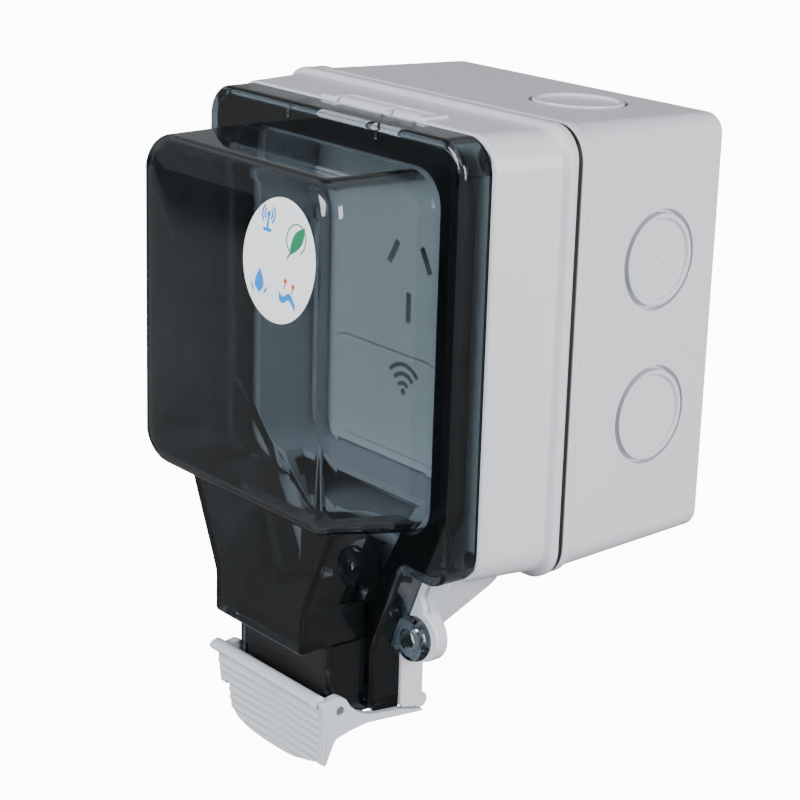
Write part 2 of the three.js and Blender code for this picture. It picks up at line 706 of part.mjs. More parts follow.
function makeTactSwitch() {
  const body = block(-3.1, 3.1, -53.4, -50.8, SWITCH_Z - 3.1, SWITCH_Z + 3.1);
  return join(body, rodY(1.7, 0, SWITCH_Z, -53.3, -54.9, 16));
}

function makeButtonPad() {
  return cut(rodY(6.5, 0, SWITCH_Z, -50.8, -54.8, 24), rodY(5, 0, SWITCH_Z, -50, -56, 24));
}

function makeModuleScrew(x) {
  const { z, r, headR, headFront, headBack, tip } = MODULE_SCREW;
  return join(rodY(headR, x, z, headBack, headFront, 16), rodY(r, x, z, headFront + 0.2, tip, 12));
}

function makeScrew(x, z, r, headR, headFront, headDepth, tip) {
  const head = rodY(headR, x, z, headFront + headDepth, headFront, 20);
  const shank = rodY(r, x, z, tip, headFront + headDepth - 0.2, 12);
  const crossA = block(x - 1.8, x + 1.8, headFront - 1, headFront + 1.2, z - 0.4, z + 0.4);
  const crossB = block(x - 0.4, x + 0.4, headFront - 1, headFront + 1.2, z - 1.8, z + 1.8);
  return cut(join(head, shank), crossA, crossB);
}

// ---- assembly ----
place('back_box', makeBackBox(), greyShell);
place('box_gasket', makeBoxGasket(), rubber);
place('front_frame', makeFrontFrame(), greyShell);
place('cover_gasket', makeCoverGasket(), rubber);
place('cover', makeCover(), smoke);
place('cable_seal', makeCableSeal(), rubber);
const hingePin = rodX(HINGE.pinR, HINGE.y, HINGE.z, HINGE.slotLow - 3, HINGE.slotHigh + 2.4, 16);
place('hinge_pin', hingePin, steel);
place('latch_lever', makeLatchLever(), greyShell);
const latchPinHalf = LATCH.halfWidth - 0.2;
place('latch_pin', rodX(LATCH.pinR, LATCH.y, LATCH.z, -latchPinHalf, latchPinHalf, 16), steel);
place('face_plate', makeFacePlate(), white);
place('push_button', makePushButton(), white);
place('module_housing', makeModuleHousing(), white);
place('contact_active', makeContact(-LIVE_SLOT.x, LIVE_SLOT.z, LIVE_SLOT.length, LIVE_SLOT.tilt), brass);
place('contact_neutral', makeContact(LIVE_SLOT.x, LIVE_SLOT.z, LIVE_SLOT.length, -LIVE_SLOT.tilt), brass);
place('contact_earth', makeContact(0, EARTH_SLOT.z, EARTH_SLOT.length, 0), brass);

['active', 'earth', 'neutral'].forEach((pole, i) => {
  place(`terminal_${pole}`, makeTerminal(TERMINAL_X[i]), brass);
  place(`terminal_screw_${pole}`, makeTerminalScrew(TERMINAL_X[i]), steel);
});

place('main_board', block(-BOARD.x, BOARD.x, BOARD.front, BOARD.back, BOARD.low, BOARD.high), board);
place('button_board', block(-14, 14, -50.6, -49.4, -35, -13.5), board);
place('board_header', block(-9, 9, -49.2, BOARD.front - 0.2, -34, -31.5), blackPart);
place('tact_switch', makeTactSwitch(), blackPart);
place('button_pad', makeButtonPad(), clearPart);
place('status_led', rodY(1.5, 0, -16, -50.8, -54, 16), clearPart);
place('wifi_module', block(-31, -13, -45.2, BOARD.front - 0.2, -30, -4), steel);
place('relay', block(6, 25.5, BOARD.back + 0.2, -26.6, 10, 26), bluePart);
place('transformer', block(-26, -8, BOARD.back + 0.2, -27.4, 8, 27), yellowPart);
place('capacitor', rodY(4.5, -21, -4, -28, BOARD.back + 0.2, 20), blackPart);
place('varistor', block(-6, 4, BOARD.back + 0.2, -29, -6, -2.4), bluePart);
place('fuse', makeFuse(), clearPart);

const corners = [[1, 1], [-1, 1], [-1, -1], [1, -1]];
corners.forEach(([sx, sz], i) => {
  const screw = makeScrew(sx * SCREW.x, sz * SCREW.z, SCREW.r, SCREW.headR, SCREW.headFront, 2.4, SCREW.tip);
  place(`frame_screw_${i + 1}`, screw, steel);
});
[-1, 1].forEach((sx, i) => {
  place(`module_screw_${i + 1}`, makeModuleScrew(sx * MODULE_SCREW.x), steel);
});
const labelBack = BULGE.frontY - 0.05;
place('label_disc', rodY(LABEL.r, LABEL.x, LABEL.z, labelBack, labelBack - LABEL.thickness, 40), white);

export default device;
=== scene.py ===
import math
import bmesh
import bpy
from mathutils import Matrix, Vector


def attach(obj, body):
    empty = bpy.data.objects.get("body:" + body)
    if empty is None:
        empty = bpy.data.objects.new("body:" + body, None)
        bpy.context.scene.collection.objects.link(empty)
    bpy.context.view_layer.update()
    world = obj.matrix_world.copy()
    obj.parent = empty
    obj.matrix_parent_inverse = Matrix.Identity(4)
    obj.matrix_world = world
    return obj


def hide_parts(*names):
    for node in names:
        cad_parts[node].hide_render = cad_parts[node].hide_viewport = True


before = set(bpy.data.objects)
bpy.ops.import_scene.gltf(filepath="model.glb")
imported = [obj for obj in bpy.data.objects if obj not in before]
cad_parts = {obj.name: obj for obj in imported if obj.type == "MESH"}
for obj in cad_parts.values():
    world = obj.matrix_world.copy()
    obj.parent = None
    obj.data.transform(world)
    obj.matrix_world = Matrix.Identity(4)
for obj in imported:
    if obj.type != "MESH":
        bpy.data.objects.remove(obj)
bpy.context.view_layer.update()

MM = 0.001
ARC = 10
FILLET = 5
SMOOTH_ANGLE = 32

# Driving dimensions in millimetres; +X right, +Z up, -Y out of the wall.
CORNER = 9
REAR_CORNER = 5.5
BOX_FRONT = -54.8
BOX_BACK_HALF = (54.5, 57.3)
BOX_FRONT_HALF = (58.3, 58.8)
BOX_WALL, BOX_REAR_WALL = 2.6, 2.4
BOX_EDGE = 1.6
BOX_RIM = 0.75
KNOCKOUT_Y = -23
KNOCKOUT_R = 14.6
KNOCKOUT_SIDE_Z = (21.7, -20.1)
KNOCKOUT_TOP_X = 22.9
ANCHOR_X, ANCHOR_Z, ANCHOR_R = 38, 40, 2.5
POST_X, POST_Z, POST_R = 49.3, 51.5, 3.5
FRAME_FRONT = -78.6
FRAME_WALL = 2.4
FRAME_HALF = (59, 59.5)
TONGUE_HALF, TONGUE_BACK = 24.5, -71
BEAD_Y, BEAD_Z, BEAD_R = -71.2, -101.3, 2.25
PADLOCK_R = 3
COVER_BACK, COVER_FRONT, COVER_WALL = -78.9, -88.5, 2.2
COVER_INNER = COVER_FRONT + COVER_WALL
HINGE_Y, HINGE_Z, HINGE_PIN_R, HINGE_KNUCKLE_R = -75, 56.3, 1.1, 2.35
HINGE_SPANS = [(-10.5, 9.7), (11.9, 22.5)]
LATCH_Y, LATCH_Z, LATCH_BORE_R = -99.1, -96.9, 1.3
LATCH_HALF, CHEEK_INNER = 24.5, 21.6
RIB_TOP, RIB_PITCH, RIB_HEIGHT = -97.6, 2.35, 0.32
EYE_X, EYE_Y, EYE_Z = 31.5, -80.95, -78.3
LABEL_X, LABEL_Z, LABEL_R = 23.25, 27.1, 14.3
LABEL_TALL, LABEL_LIFT = 1.07, 0.16
OPENING = (43.6, -45.5, 48.5)
NOSE_FRONT, NOSE_BOTTOM = -99.5, -101.2
CHUTE_HALF, CHUTE_FRONT = 20.1, -108.8
BULGE_FRONT, BULGE_SLOPE = -121.35, 29
FRONT_ROUND = 3.8
LEFT_SPREAD = 0.9
SEAL_HALF = 17.5
RIB_X = 18.5
CABLE_X, CABLE_Y, CABLE_R = 8.5, -91.5, 4
FACE_FRONT, BUTTON_FRONT = -60.6, -61.6
PIN_SLOT_X, PIN_SLOT_Z, EARTH_SLOT_Z, SLOT_WIDTH = 6.86, 16.1, 1.8, 2.1
RADIO_Z = -21.6
CORNERS = [(1, 1), (1, -1), (-1, 1), (-1, -1)]


# ---- outlines: lists of (u, v, corner radius), counterclockwise ----
def outline(corners, inset=0.0):
    """The points of an outline with its corners rounded, drawn in by inset."""
    points = [Vector(c[:2]) for c in corners]
    count = len(points)
    runs = [(points[(i + 1) % count] - points[i]).normalized() for i in range(count)]
    result = []
    for i in range(count):
        before, after = runs[i - 1], runs[i]
        turn = math.atan2(before.x * after.y - before.y * after.x, before.dot(after))
        side = 1 if turn > 0 else -1
        normal = Vector((-before.y, before.x))
        middle = (normal + Vector((-after.y, after.x))).normalized()
        r = max(corners[i][2] - side * inset, 0.03)
        centre = points[i] + middle * ((inset + side * r) / math.cos(turn / 2))
        arm = normal * (-side * r)
        for k in range(ARC + 1):
            result.append(centre + Matrix.Rotation(turn * k / ARC, 2) @ arm)
    return result


def rect(x, low, high, r):
    """A rectangle from -x to x."""
    return [(x, low, r), (x, high, r), (-x, high, r), (-x, low, r)]


def both_sides(right):
    """A right-hand run of corners from bottom to top, closed by its mirror image."""
    return right + [(-u, v, r) for u, v, r in reversed(right)]


def tab(x0, x1, low, high, r):
    """A rectangle from x0 to x1."""
    return [(x1, low, r), (x1, high, r), (x0, high, r), (x0, low, r)]


def span(low, high, steps):
    return [low + (high - low) * k / steps for k in range(steps + 1)]


# ---- meshes ----
def link(name, bm):
    bmesh.ops.recalc_face_normals(bm, faces=bm.faces)
    mesh = bpy.data.meshes.new(name)
    bm.to_mesh(mesh)
    bm.free()
    obj = bpy.data.objects.new(name, mesh)
    bpy.context.scene.collection.objects.link(obj)
    return obj


def skin(name, rings):
    """A closed skin through rings of points in millimetres."""
    bm = bmesh.new()
    rows = [[bm.verts.new(Vector(p) * MM) for p in ring] for ring in rings]
    count = len(rows[0])
    for a, b in zip(rows, rows[1:]):
        for i in range(count):
            j = (i + 1) % count
            bm.faces.new((a[i], a[j], b[j], b[i]))
    bm.faces.new(rows[0])
    bm.faces.new(rows[-1])
    return link(name, bm)


def prism(name, corners, start, end, r0=0.0, r1=0.0, axis="y"):
    """An outline carried along an axis, with its end edges rounded by r0 and r1."""
    way = 1 if end > start else -1
    levels = []
    for k in range(FILLET + 1 if r0 else 1):
        a = math.pi / 2 * k / FILLET
        levels.append((r0 * (1 - math.sin(a)), start + way * r0 * (1 - math.cos(a))))
    for k in range(FILLET + 1 if r1 else 1):
        a = math.pi / 2 * k / FILLET
        levels.append((r1 * (1 - math.cos(a)), end - way * r1 * (1 - math.sin(a))))
    rings = []
    for inset, w in levels:
        points = outline(corners, inset)
        rings.append([(w, p.x, p.y) if axis == "x" else (p.x, w, p.y) for p in points])
    return skin(name, rings)


def lathe(name, profile, centre, axis, steps=96):
    """A profile of (radius, height) turned about an axis through a centre."""
    bm = bmesh.new()
    turn = Vector((0, 0, 1)).rotation_difference(Vector(axis)).to_matrix()
    rows = []
    for r, h in profile:
        count = 1 if r < 1e-6 else steps
        row = []
        for k in range(count):
            a = 2 * math.pi * k / steps
            point = turn @ Vector((r * math.cos(a), r * math.sin(a), h)) + Vector(centre)
            row.append(bm.verts.new(point * MM))
        rows.append(row)
    for a, b in zip(rows, rows[1:]):
        for k in range(steps):
            j = (k + 1) % steps
            corners = [a[k % len(a)], a[j % len(a)], b[j % len(b)], b[k % len(b)]]
            unique = list(dict.fromkeys(corners))
            if len(unique) > 2:
                bm.faces.new(unique)
    return link(name, bm)


def rod(r, centre, axis, length, edge=0.0, steps=64):
    half = length / 2
    if edge:
        side = [(r - edge, -half), (r, -half + edge), (r, half - edge), (r - edge, half)]
    else:
        side = [(r, -half), (r, half)]
    profile = [(0, -half)] + side + [(0, half)]
    return lathe("rod", profile, centre, axis, steps)


def combine(first, operation, others):
    for other in others:
        modifier = first.modifiers.new("combine", "BOOLEAN")
        modifier.operation = operation
        modifier.solver = "MANIFOLD"
        modifier.object = other
    settle(first)
    for other in others:
        bpy.data.objects.remove(other)
    return first


def settle(obj):
    """Makes the modifiers' result the mesh itself."""
    graph = bpy.context.evaluated_depsgraph_get()
    mesh = bpy.data.meshes.new_from_object(obj.evaluated_get(graph))
    obj.modifiers.clear()
    obj.data = mesh
    return obj


def join(first, *others):
    return combine(first, "UNION", others)


def cut(first, *others):
    return combine(first, "DIFFERENCE", others)


def meet(first, *others):
    return combine(first, "INTERSECT", others)


def merge(objects):
    """Puts several meshes into the first one's object, without a boolean."""
    bm = bmesh.new()
    for o in objects:
        bm.from_mesh(o.data)
    bm.to_mesh(objects[0].data)
    bm.free()
    for o in objects[1:]:
        bpy.data.objects.remove(o)
    return objects[0]


def soften(obj, width):
    """Rounds the sharp edges and keeps flat faces flat."""
    bevel = obj.modifiers.new("bevel", "BEVEL")
    bevel.width = width * MM
    bevel.segments = 2
    bevel.limit_method = "ANGLE"
    bevel.angle_limit = math.radians(SMOOTH_ANGLE)
    bevel.use_clamp_overlap = True
    bevel.miter_outer = "MITER_ARC"
    return settle(obj)


def weld(obj, flat=True):
    """Closes up the small gaps and slivers that a boolean leaves, and clears flat faces of edges."""
    bm = bmesh.new()
    bm.from_mesh(obj.data)
    bmesh.ops.remove_doubles(bm, verts=bm.verts, dist=0.004 * MM)
    bmesh.ops.dissolve_degenerate(bm, edges=bm.edges, dist=0.002 * MM)
    if flat:
        bmesh.ops.dissolve_limit(bm, angle_limit=math.radians(0.4), verts=bm.verts, edges=bm.edges)
    bm.to_mesh(obj.data)
    bm.free()
    return obj


def smooth(obj):
    obj.data.shade_smooth()
    obj.data.set_sharp_from_angle(angle=math.radians(SMOOTH_ANGLE))
    weights = obj.modifiers.new("weights", "WEIGHTED_NORMAL")
    weights.keep_sharp = True
    weights.weight = 60
    return settle(obj)


def finish_piece(obj, name, body, material, nodes=()):
    obj.name = name
    obj.data.name = name
    obj.data.materials.clear()
    obj.data.materials.append(material)
    smooth(obj)
    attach(obj, body)
    if nodes:
        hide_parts(*nodes)
    return obj


# ---- materials ----
def new_material(name):
    material = bpy.data.materials.new(name)
    material.use_nodes = True
    tree = material.node_tree
    return material, tree, tree.nodes["Principled BSDF"]


def texture_noise(tree, scale, detail=3.0):
    place = tree.nodes.new("ShaderNodeTexCoord")
    noise = tree.nodes.new("ShaderNodeTexNoise")
    noise.inputs["Scale"].default_value = scale
    noise.inputs["Detail"].default_value = detail
    tree.links.new(place.outputs["Object"], noise.inputs["Vector"])
    return noise


def spread(tree, noise, low, high):
    ramp = tree.nodes.new("ShaderNodeMapRange")
    ramp.inputs["From Min"].default_value = 0.3
    ramp.inputs["From Max"].default_value = 0.7
    ramp.inputs["To Min"].default_value = low
    ramp.inputs["To Max"].default_value = high
    tree.links.new(noise.outputs["Fac"], ramp.inputs["Value"])
    return ramp


def plain(name, color, roughness, metallic=0.0, grain=0.0, scale=900, coat=0.0, vary=0.03):
    """A plastic, rubber or metal with slight changes of tone and gloss, and a fine grain."""
    material, tree, shader = new_material(name)
    shader.inputs["Metallic"].default_value = metallic
    shader.inputs["Coat Weight"].default_value = coat
    shader.inputs["Coat Roughness"].default_value = 0.12
    slow = texture_noise(tree, 40)
    gloss = spread(tree, slow, roughness * 0.92, roughness * 1.08)
    tree.links.new(gloss.outputs["Result"], shader.inputs["Roughness"])
    tone = tree.nodes.new("ShaderNodeMix")
    tone.data_type = "RGBA"
    tone.inputs["A"].default_value = (*[c * (1 - vary) for c in color], 1)
    tone.inputs["B"].default_value = (*[min(1, c * (1 + vary)) for c in color], 1)
    tree.links.new(slow.outputs["Fac"], tone.inputs["Factor"])
    tree.links.new(tone.outputs["Result"], shader.inputs["Base Color"])
    if grain:
        fine = texture_noise(tree, scale, 2)
        bump = tree.nodes.new("ShaderNodeBump")
        bump.inputs["Strength"].default_value = grain
        bump.inputs["Distance"].default_value = 0.00004
        tree.links.new(fine.outputs["Fac"], bump.inputs["Height"])
        tree.links.new(bump.outputs["Normal"], shader.inputs["Normal"])
    return material


def smoked(name, tint, lamp_tint, roughness):
    """Dark clear plastic; lamps shine through it unbent."""
    material, tree, shader = new_material(name)
    shader.inputs["Base Color"].default_value = (*tint, 1)
    shader.inputs["Transmission Weight"].default_value = 1
    shader.inputs["IOR"].default_value = 1.49
    shader.inputs["Specular IOR Level"].default_value = 0.35
    slow = texture_noise(tree, 30)
    gloss = spread(tree, slow, roughness * 0.7, roughness * 1.3)
    tree.links.new(gloss.outputs["Result"], shader.inputs["Roughness"])
    clear = tree.nodes.new("ShaderNodeBsdfTransparent")
    clear.inputs["Color"].default_value = (*lamp_tint, 1)
    light = tree.nodes.new("ShaderNodeLightPath")
    mix = tree.nodes.new("ShaderNodeMixShader")
    output = tree.nodes["Material Output"]
    tree.links.new(light.outputs["Is Shadow Ray"], mix.inputs["Fac"])
    tree.links.new(shader.outputs["BSDF"], mix.inputs[1])
    tree.links.new(clear.outputs["BSDF"], mix.inputs[2])
    tree.links.new(mix.outputs["Shader"], output.inputs["Surface"])
    return material


GREY = plain("grey_plastic", (0.62, 0.634, 0.68), 0.33, grain=0.12, coat=0.2)
LATCH_GREY = plain("latch_plastic", (0.565, 0.605, 0.66), 0.42, grain=0.12, scale=1200)
FACE = plain("face_plastic", (0.84, 0.86, 0.87), 0.3, grain=0.05)
SMOKE = smoked("smoked_cover", (0.148, 0.178, 0.194), (0.88, 0.90, 0.91), 0.03)
BLACK = plain("black_rubber", (0.003, 0.003, 0.0034), 0.45, grain=0.2)
STEEL = plain("steel", (0.55, 0.54, 0.52), 0.3, metallic=1, grain=0.1)
BRASS = plain("brass", (0.72, 0.50, 0.20), 0.3, metallic=1)
MARK = plain("printed_grey", (0.16, 0.17, 0.18), 0.5)
PAPER = plain("label_white", (0.91, 0.94, 0.97), 0.4)
BLUE = plain("print_blue", (0.0, 0.24, 0.72), 0.4)
GREEN = plain("print_green", (0.0, 0.21, 0.09), 0.4)
ORANGE = plain("print_orange", (0.62, 0.09, 0.01), 0.4)
BOARD = plain("board_green", (0.02, 0.13, 0.05), 0.4)
PART_BLACK = plain("part_black", (0.02, 0.02, 0.022), 0.4)
PART_BLUE = plain("part_blue", (0.02, 0.12, 0.42), 0.35)
PART_YELLOW = plain("part_yellow", (0.6, 0.42, 0.06), 0.4)
PART_CLEAR = plain("part_clear", (0.72, 0.76, 0.78), 0.25)


# ---- back box ----
# (radius, height) from a dimpled centre over a raised rim and a groove out to the wall
KNOCKOUT_PROFILE = [
    (0, -0.95), (0.4, -0.9), (0.75, -0.6), (1.1, -0.48), (10.1, -0.48), (10.45, -0.4), (10.75, -0.05),
    (10.95, 0.3), (11.2, 0.42), (11.85, 0.42), (12.1, 0.32), (12.2, 0.05), (12.22, -2.2), (13.3, -2.2),
    (13.34, -0.12), (13.45, -0.02), (13.7, 0), (KNOCKOUT_R, 0), (KNOCKOUT_R, -2.4), (0, -2.4),
]


def section(y, x, z, r, inset=0.0):
    """A rounded rectangle across the box at a depth y."""
    return [(p.x, y, p.y) for p in outline(rect(x, -z, z, r), inset)]


def box_corner(y):
    return REAR_CORNER + (CORNER - REAR_CORNER) * min(1, y / BOX_FRONT)


def box_half(y):
    t = y / BOX_FRONT
    return [a + (b - a) * t for a, b in zip(BOX_BACK_HALF, BOX_FRONT_HALF)]


def make_back_box():
    rings = []
    for k in range(FILLET + 1):
        a = math.pi / 2 * k / FILLET
        y, inset = -BOX_EDGE * (1 - math.cos(a)), BOX_EDGE * (1 - math.sin(a))
        rings.append(section(y, *box_half(0), REAR_CORNER, inset))
    rim = [
        (-50.6, 0), (-50.9, 0.06), (-51.2, 0.3), (-51.45, 0.58), (-51.75, 0.7), (-52.1, BOX_RIM),
        (-54.2, BOX_RIM), (-54.5, BOX_RIM - 0.1), (-54.62, BOX_RIM - 0.32),
    ]
    for y, grow in rim:
        rings.append(section(y, *box_half(y), box_corner(y), -grow))
    shell = skin("shell", rings)
    inside = [section(y, *box_half(y), box_corner(y), BOX_WALL) for y in (-BOX_REAR_WALL, BOX_FRONT - 1.2)]
    hollow = skin("hollow", inside)
    holes = []
    discs = []
    taper = [(b - a) / -BOX_FRONT for a, b in zip(BOX_BACK_HALF, BOX_FRONT_HALF)]
    side = box_half(KNOCKOUT_Y)
    spots = [((s * side[0], KNOCKOUT_Y, z), (s, taper[0], 0)) for s in (1, -1) for z in KNOCKOUT_SIDE_Z]
    spots += [((KNOCKOUT_TOP_X, KNOCKOUT_Y, s * side[1]), (0, taper[1], s)) for s in (1, -1)]
    for centre, axis in spots:
        axis = Vector(axis).normalized()
        holes.append(rod(KNOCKOUT_R, centre, axis, 8))
        discs.append(lathe("disc", KNOCKOUT_PROFILE, centre, axis))
    for sx, sz in CORNERS:
        holes.append(rod(ANCHOR_R, (sx * ANCHOR_X, -1, sz * ANCHOR_Z), (0, 1, 0), 8))
    cut(shell, hollow, *holes)
    weld(shell)
    posts = []
    for sx, sz in CORNERS:
        posts.append(rod(POST_R, (sx * POST_X, -28.4, sz * POST_Z), (0, 1, 0), 52.6, 0.3))
    return merge([shell, *discs, *posts])


def make_box_gasket():
    """The black seal in the joint between the box and the frame."""
    ring = prism("ring", rect(58.55, -59.05, 59.05, CORNER - 0.5), -54.5, -56.1, 0.2, 0.2)
    return cut(ring, prism("inside", rect(56.2, -56.7, 56.7, CORNER - 2.8), -53, -58))


# ---- front frame ----
def make_frame():
    rings = [
        section(-56.0, *FRAME_HALF, CORNER, 0.32),
        section(-56.1, *FRAME_HALF, CORNER, 0.1),
        section(-56.35, *FRAME_HALF, CORNER),
        section(-58.0, *FRAME_HALF, CORNER),
        section(-58.4, 58.9, 59.42, CORNER),
        section(-58.7, 58.62, 59.2, CORNER),
        section(-59.5, 57.6, 58.35, CORNER),
        section(-59.8, 57.3, 58.1, CORNER),
        section(-60.2, 57.15, 58, CORNER),
        section(-77.8, 54.3, 57.9, CORNER),
        section(-78.3, 54.25, 57.9, CORNER, 0.2),
        section(FRAME_FRONT, 54.2, 57.9, CORNER, 0.6),
    ]
    frame_solid = skin("frame", rings)
    inside = [section(BOX_FRONT, 58, 58.5, CORNER, FRAME_WALL), section(-76, 54.6, 57.9, CORNER, FRAME_WALL)]
    hollow = skin("hollow", inside)
    cut(frame_solid, hollow)
    tongue = [(TONGUE_HALF, -101.5, 2), (TONGUE_HALF, -82.5, 5), (38.4, -50, 0.5)]
    rim = prism("rim", both_sides(tongue), -74.4, FRAME_FRONT, 0.5, 0.4)
    depth = [(TONGUE_BACK, -103.2, 1), (TONGUE_BACK, -72, 1), (-78.2, -72, 0.3), (-78.2, -101.5, 0.8)]
    deep = prism("deep", depth, -TONGUE_HALF, TONGUE_HALF, 0.3, 0.3, axis="x")
    slope = [
        (-76.5, -83, 0.3), (-76.5, -55.5, 0.3), (-59.6, -55.5, 0.3),
        (-59.6, -64.5, 4), (TONGUE_BACK, -77, 4), (TONGUE_BACK, -83, 0.3),
    ]
    gusset = prism("gusset", slope[::-1], -46, 46, axis="x")
    taper = both_sides([(27, -83, 2), (31.2, -77, 5), (44.6, -55.4, 0.3)])
    meet(gusset, prism("taper", taper, -55, -80))
    ear_profile = [
        (0, -2.1), (6.4, -2.1), (6.85, -1.9), (7, -1.5),
        (7, 1.5), (6.85, 1.9), (6.4, 2.1), (0, 2.1),
    ]
    ear = lathe("ear", ear_profile, (EYE_X, -76.5, EYE_Z), (0, 1, 0))
    web_outline = [(24, -87.5, 1), (27, -86, 3), (33, -70, 3), (30, -66, 1), (24, -70, 1)]
    web = prism("web", web_outline, -74.5, -78.5, 0.3, 0.2)
    bead = rod(BEAD_R, (0, BEAD_Y, BEAD_Z), (1, 0, 0), 48.9, 0.5)
    well = prism("well", rect(43, -45, 48, 9), -58.3, -77)
    join(frame_solid, rim, deep, gusset, ear, web, bead, well)
    window = prism("window", rect(41, -43, 46, 7), -57, -80)
    trough = prism("trough", both_sides([(17.5, -73, 1.5), (17.5, -69.6, 4), (29, -40, 1)]), -73.6, -80)
    eye = rod(PADLOCK_R, (EYE_X, -76, EYE_Z), (0, 1, 0), 10)
    pocket = prism("pocket", tab(-17, 26, 50.9, 58.6, 0.9), -69.5, -78.1, 0.8, 0.3)
    join(frame_solid, pocket)
    gaps = [(-11, 10.1, 52.7, 62, 0.6), (11.5, 23, 52.7, 62, 0.6), (9, 12, 57.9, 62, 0.2)]
    slots = [prism("slot", tab(*gap), -71.8, -80) for gap in gaps]
    pin = rod(HINGE_PIN_R, (6, HINGE_Y, HINGE_Z), (1, 0, 0), 39.2, steps=32)
    bosses = [rod(4, (s * 46.6, -67.7, 2), (0, 1, 0), 19) for s in (1, -1)]
    posts = [rod(POST_R, (sx * POST_X, -68.2, sz * POST_Z), (0, 1, 0), 19) for sx, sz in CORNERS]
    join(frame_solid, *bosses, *posts)
    holes = []
    for sx, sz in CORNERS:
        holes.append(rod(1.9, (sx * POST_X, -68, sz * POST_Z), (0, 1, 0), 26, steps=32))
        holes.append(rod(3.2, (sx * POST_X, -78, sz * POST_Z), (0, 1, 0), 5.4, steps=48))
    cut(frame_solid, window, trough, eye, pin, *slots, *holes)
    weld(frame_solid)
    return soften(frame_solid, 0.28)


# ---- cover ----
def bow(x, z):
    """How far the bulge's front falls back from its foremost point."""
    return 3.5 * ((z - 3) / 43) ** 2 + 0.6 * (x / 38) ** 2


def bulge(inset, base_y):
    """The bulge's skin, drawn in by inset, from base_y to its bowed front."""
    front = BULGE_FRONT + inset
    round_r = FRONT_ROUND - inset * 0.6
    def corners(y):
        t = (COVER_FRONT - y) / BULGE_SLOPE
        return rect(43.6 - 2.7 * t, -45.5 + 3.7 * t, 48.5 - 0.2 * t, CORNER - 0.5 * t)
    def ring(y, more=0.0, shrink=1.0):
        points = []
        forward = min(1, max(0, (COVER_FRONT - y) / (COVER_FRONT - front - round_r)))
        for p in outline(corners(y), inset + more):
            x, z = p.x * shrink, 1.5 + (p.y - 1.5) * shrink
            x -= LEFT_SPREAD * forward * min(1, max(0, -x / 30))
            points.append((x, y + bow(x, z) * forward, z))
        return points
    rings = [ring(y) for y in span(base_y, front + round_r, 8)]
    for k in range(1, 9):
        a = math.pi / 2 * k / 8
        rings.append(ring(front + round_r * (1 - math.sin(a)), round_r * (1 - math.cos(a))))
    for k in range(1, 16):
        rings.append(ring(front, round_r, 1 - k / 15 * 0.985))
    return skin("bulge", rings)


def chute(inset, back, top):
    corners = both_sides([(CHUTE_HALF, -81.2, 1.6), (CHUTE_HALF, -69.6, 7), (31.9, -44, 1), (31.9, top, 0.5)])
    front = CHUTE_FRONT + inset
    r = max(1.5 - inset * 0.5, 0.4)
    levels = [(0, back)]
    for k in range(FILLET + 1):
        a = math.pi / 2 * k / FILLET
        levels.append((r * (1 - math.cos(a)), front + r * (1 - math.sin(a))))
    rings = [[(p.x, y, p.y) for p in outline(corners, inset + more)] for more, y in levels]
    return skin("chute", rings)


def cover_corners():
    foot = [(24, -100.4, 2.2), (24, -82.5, 5), (34.6, -57.4, 1.6)]
    return both_sides(foot + [(53.4, -57.4, CORNER), (53.4, 57.4, CORNER)])


